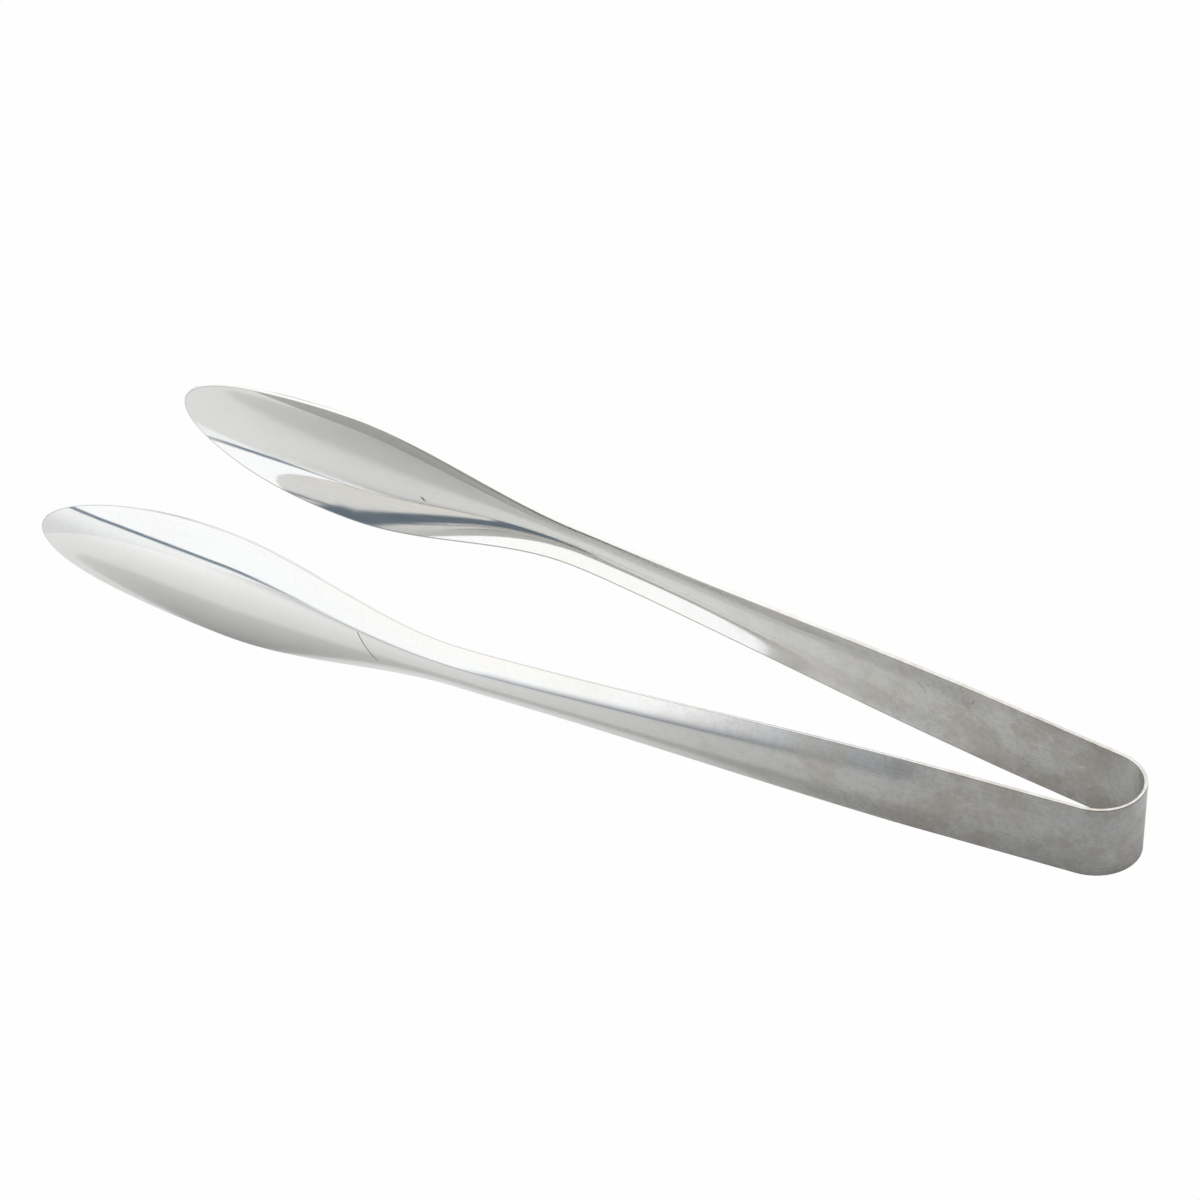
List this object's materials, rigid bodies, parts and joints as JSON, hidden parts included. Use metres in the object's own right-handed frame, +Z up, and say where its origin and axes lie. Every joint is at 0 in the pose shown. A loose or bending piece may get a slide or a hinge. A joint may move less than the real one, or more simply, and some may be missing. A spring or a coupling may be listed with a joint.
{
  "type": "serving tongs",
  "caption": "One-piece sprung serving tongs of sheet steel: a U-shaped bow, two fluted arms and a shallow spoon bowl at each tip.",
  "frame": {"origin": "middle of the bounding box at its bottom, where the tongs lie on a table on the edges of the strip", "axes": "+X along the tongs towards the bow, +Y across to the rear arm, +Z up from the table, which is the strip's width to within 1.7 degrees"},
  "size_m": [0.3002, 0.0706, 0.0344],
  "materials": {
    "satin_steel": "satin stainless steel, lightly scratched and stained from use",
    "polished_steel": "bright polished stainless steel with a soft haze"
  },
  "bodies": {
    "bow": {"bow": "satin_steel", "front_spring_leaf": "satin_steel", "rear_spring_leaf": "satin_steel"},
    "front_arm": {"front_arm": "satin_steel", "front_bowl": "polished_steel"},
    "rear_arm": {"rear_arm": "satin_steel", "rear_bowl": "polished_steel"}
  },
  "joints": [
    {"name": "front_squeeze", "type": "hinge", "parent": "bow", "child": "front_arm", "pos_m": [0.12399, -0.01333, 0.01094], "axis": [-0.0286, 0, -0.9996], "range_deg": [-2, 6.7], "stiffness_Nm_per_rad": 6.9, "deforming": ["front_spring_leaf"]},
    {"name": "rear_squeeze", "type": "hinge", "parent": "bow", "child": "rear_arm", "pos_m": [0.12399, 0.01333, 0.01094], "axis": [0.0286, 0, 0.9996], "range_deg": [-2, 6.7], "stiffness_Nm_per_rad": 6.9, "deforming": ["rear_spring_leaf"]}
  ],
  "couplings": [
    {"joint": "rear_squeeze", "follows": "front_squeeze", "ratio": 1}
  ]
}
